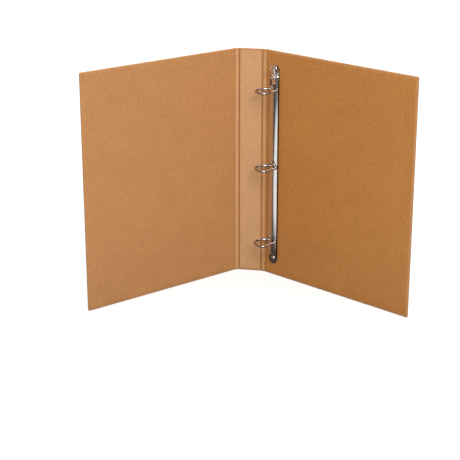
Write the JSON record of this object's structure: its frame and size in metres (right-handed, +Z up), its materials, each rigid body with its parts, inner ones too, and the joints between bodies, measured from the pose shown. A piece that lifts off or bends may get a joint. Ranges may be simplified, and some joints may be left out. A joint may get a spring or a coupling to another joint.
{
  "type": "scrapbook album",
  "caption": "Ring binder album in a turned-edge kraft paper case, standing open, with slant-D rings and an opening lever inside the back cover.",
  "frame": {"origin": "under the middle of the standing album's box, on the table", "axes": "+Z up, +X along the spine's width from front cover to back cover, inside facing -Y"},
  "size_m": [0.417, 0.1906, 0.32],
  "materials": {
    "greyboard": "bare pressed greyboard",
    "cover_kraft": "uncoated kraft paper, matte",
    "lining_kraft": "uncoated kraft paper, matte",
    "nickel_plate": "bright nickel plate",
    "nickel_wire": "bright nickel plate",
    "blade_steel": "plated spring steel",
    "rivet_metal": "nickel plate"
  },
  "bodies": {
    "spine": {"spine_board": "greyboard", "spine_wrap": "cover_kraft", "spine_lining": "lining_kraft"},
    "front_hinge": {"front_hinge_board": "greyboard", "front_hinge_wrap": "cover_kraft", "front_hinge_lining": "lining_kraft"},
    "front_cover": {"front_cover_board": "greyboard", "front_cover_wrap": "cover_kraft", "front_cover_lining": "lining_kraft"},
    "rear_hinge": {"rear_hinge_board": "greyboard", "rear_hinge_wrap": "cover_kraft", "rear_hinge_lining": "lining_kraft"},
    "back_cover": {"back_cover_board": "greyboard", "back_cover_wrap": "cover_kraft", "back_cover_lining": "lining_kraft", "ring_housing": "nickel_plate", "lever_pin": "rivet_metal", "head_rivet": "rivet_metal", "tail_rivet": "rivet_metal"},
    "spine_side_rings": {"spine_side_blade": "blade_steel", "head_ring_arc": "nickel_wire", "middle_ring_arc": "nickel_wire", "tail_ring_arc": "nickel_wire"},
    "fore_side_rings": {"fore_side_blade": "blade_steel", "head_ring_post": "nickel_wire", "middle_ring_post": "nickel_wire", "tail_ring_post": "nickel_wire"},
    "opening_lever": {"opening_lever": "nickel_plate"}
  },
  "joints": [
    {"name": "front_spine_crease", "type": "hinge", "parent": "spine", "child": "front_hinge", "pos_m": [-0.04007, 0.09499, 0.16], "axis": [0, 0, -1], "range_deg": [-22, 69.5]},
    {"name": "front_cover_crease", "type": "hinge", "parent": "front_hinge", "child": "front_cover", "pos_m": [-0.0469, 0.09188, 0.16], "axis": [0, 0, -1], "range_deg": [-22, 69.5]},
    {"name": "rear_spine_crease", "type": "hinge", "parent": "spine", "child": "rear_hinge", "pos_m": [-0.00747, 0.09499, 0.16], "axis": [0, 0, 1], "range_deg": [-27.5, 61]},
    {"name": "back_cover_crease", "type": "hinge", "parent": "rear_hinge", "child": "back_cover", "pos_m": [-0.00026, 0.09292, 0.16], "axis": [0, 0, 1], "range_deg": [-27.5, 61]},
    {"name": "spine_side_ring_opening", "type": "hinge", "parent": "back_cover", "child": "spine_side_rings", "pos_m": [0.00507, 0.0841, 0.16], "axis": [0, 0, -1], "range_deg": [0, 8]},
    {"name": "fore_side_ring_opening", "type": "hinge", "parent": "back_cover", "child": "fore_side_rings", "pos_m": [0.01525, 0.07774, 0.16], "axis": [0, 0, 1], "range_deg": [0, 8]},
    {"name": "lever_press", "type": "hinge", "parent": "back_cover", "child": "opening_lever", "pos_m": [0.00958, 0.07999, 0.2825], "axis": [-0.848, 0.5299, 0], "range_deg": [0, 14]}
  ],
  "couplings": [
    {"joint": "front_cover_crease", "follows": "front_spine_crease", "ratio": 1},
    {"joint": "back_cover_crease", "follows": "rear_spine_crease", "ratio": 1},
    {"joint": "fore_side_ring_opening", "follows": "spine_side_ring_opening", "ratio": 1},
    {"joint": "lever_press", "follows": "spine_side_ring_opening", "ratio": 1.75}
  ]
}
